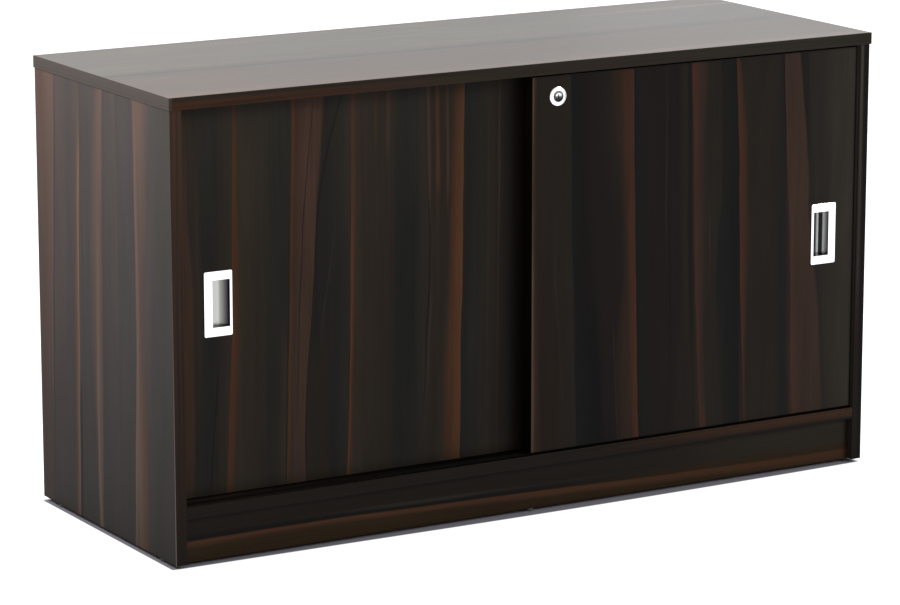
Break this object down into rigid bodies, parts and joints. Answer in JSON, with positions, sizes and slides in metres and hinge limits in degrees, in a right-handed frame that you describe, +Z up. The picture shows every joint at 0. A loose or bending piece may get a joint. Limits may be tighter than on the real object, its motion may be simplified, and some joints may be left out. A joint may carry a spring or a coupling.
{
  "type": "office credenza",
  "caption": "Low credenza with two by-pass sliding doors, flush pulls, a push-in lock and shelved bays for office storage.",
  "frame": {"origin": "middle of the footprint, on the floor", "axes": "+X to the right end seen from the doors, +Y to the back, +Z up"},
  "size_m": [1.204, 0.448, 0.68],
  "materials": {
    "dark_laminate": "satin",
    "edge_band": "satin",
    "back_board": "matte",
    "bright_chrome": "polished",
    "lock_nickel": "polished",
    "zinc_steel": "satin",
    "cast_zinc": "cast",
    "beech": "matte",
    "dark_extrusion": "satin",
    "white_nylon": "satin",
    "dark_plastic": "matte",
    "rubber_pad": "matte"
  },
  "bodies": {
    "root": {"back_panel": "back_board", "bottom_edge_band": "edge_band", "bottom_panel": "dark_laminate", "bottom_track_front": "dark_extrusion", "bottom_track_rear": "dark_extrusion", "cam_bolts": "zinc_steel", "cam_housings": "cast_zinc", "centre_partition": "dark_laminate", "door_stop_pads": "rubber_pad", "dowels": "beech", "front_plinth": "dark_laminate", "glides": "dark_plastic", "interior_edge_bands": "edge_band", "left_shelf": "dark_laminate", "left_side_panel": "dark_laminate", "rear_plinth": "dark_laminate", "right_shelf": "dark_laminate", "right_side_panel": "dark_laminate", "shelf_pins": "zinc_steel", "side_edge_bands": "edge_band", "top_edge_bands": "edge_band", "top_panel": "dark_laminate", "top_track_front": "dark_extrusion", "top_track_rear": "dark_extrusion"},
    "left_door": {"left_door_panel": "dark_laminate", "left_door_edge_bands": "edge_band", "left_pull": "bright_chrome", "left_top_guides": "dark_plastic", "left_roller_housings": "dark_plastic", "left_roller_axles": "zinc_steel", "left_housing_screws": "zinc_steel", "strike_bush": "dark_plastic"},
    "right_door": {"right_door_panel": "dark_laminate", "right_door_edge_bands": "edge_band", "right_pull": "bright_chrome", "right_top_guides": "dark_plastic", "right_roller_housings": "dark_plastic", "right_roller_axles": "zinc_steel", "right_housing_screws": "zinc_steel", "lock_rosette": "bright_chrome", "lock_body": "lock_nickel", "lock_screws": "zinc_steel"},
    "lock_plunger": {"lock_plunger": "lock_nickel"},
    "lock_core": {"lock_core": "lock_nickel"},
    "left_door_outer_roller": {"left_door_outer_roller": "white_nylon"},
    "left_door_inner_roller": {"left_door_inner_roller": "white_nylon"},
    "right_door_inner_roller": {"right_door_inner_roller": "white_nylon"},
    "right_door_outer_roller": {"right_door_outer_roller": "white_nylon"}
  },
  "joints": [
    {"name": "left_door_slide", "type": "slide", "parent": "root", "child": "left_door", "axis": [1, 0, 0], "range_m": [0, 0.5215]},
    {"name": "right_door_slide", "type": "slide", "parent": "root", "child": "right_door", "axis": [-1, 0, 0], "range_m": [0, 0.5755]},
    {"name": "lock_plunger_slide", "type": "slide", "parent": "right_door", "child": "lock_plunger", "axis": [0, -1, 0], "range_m": [0, 0.009]},
    {"name": "lock_core_turn", "type": "hinge", "parent": "lock_plunger", "child": "lock_core", "pos_m": [0.039, -0.216, 0.6276], "axis": [0, -1, 0], "range_deg": [-90, 0]},
    {"name": "left_door_outer_roller_turn", "type": "hinge", "parent": "left_door", "child": "left_door_outer_roller", "pos_m": [-0.5055, -0.179, 0.0945], "axis": [0, 1, 0], "continuous": true},
    {"name": "left_door_inner_roller_turn", "type": "hinge", "parent": "left_door", "child": "left_door_inner_roller", "pos_m": [-0.016, -0.179, 0.0945], "axis": [0, 1, 0], "continuous": true},
    {"name": "right_door_inner_roller_turn", "type": "hinge", "parent": "right_door", "child": "right_door_inner_roller", "pos_m": [0.07, -0.207, 0.0945], "axis": [0, 1, 0], "continuous": true},
    {"name": "right_door_outer_roller_turn", "type": "hinge", "parent": "right_door", "child": "right_door_outer_roller", "pos_m": [0.5055, -0.207, 0.0945], "axis": [0, 1, 0], "continuous": true}
  ],
  "couplings": [
    {"joint": "left_door_outer_roller_turn", "follows": "left_door_slide", "rad_per_m": 90.909},
    {"joint": "left_door_inner_roller_turn", "follows": "left_door_slide", "rad_per_m": 90.909},
    {"joint": "right_door_inner_roller_turn", "follows": "right_door_slide", "rad_per_m": -90.909},
    {"joint": "right_door_outer_roller_turn", "follows": "right_door_slide", "rad_per_m": -90.909}
  ]
}
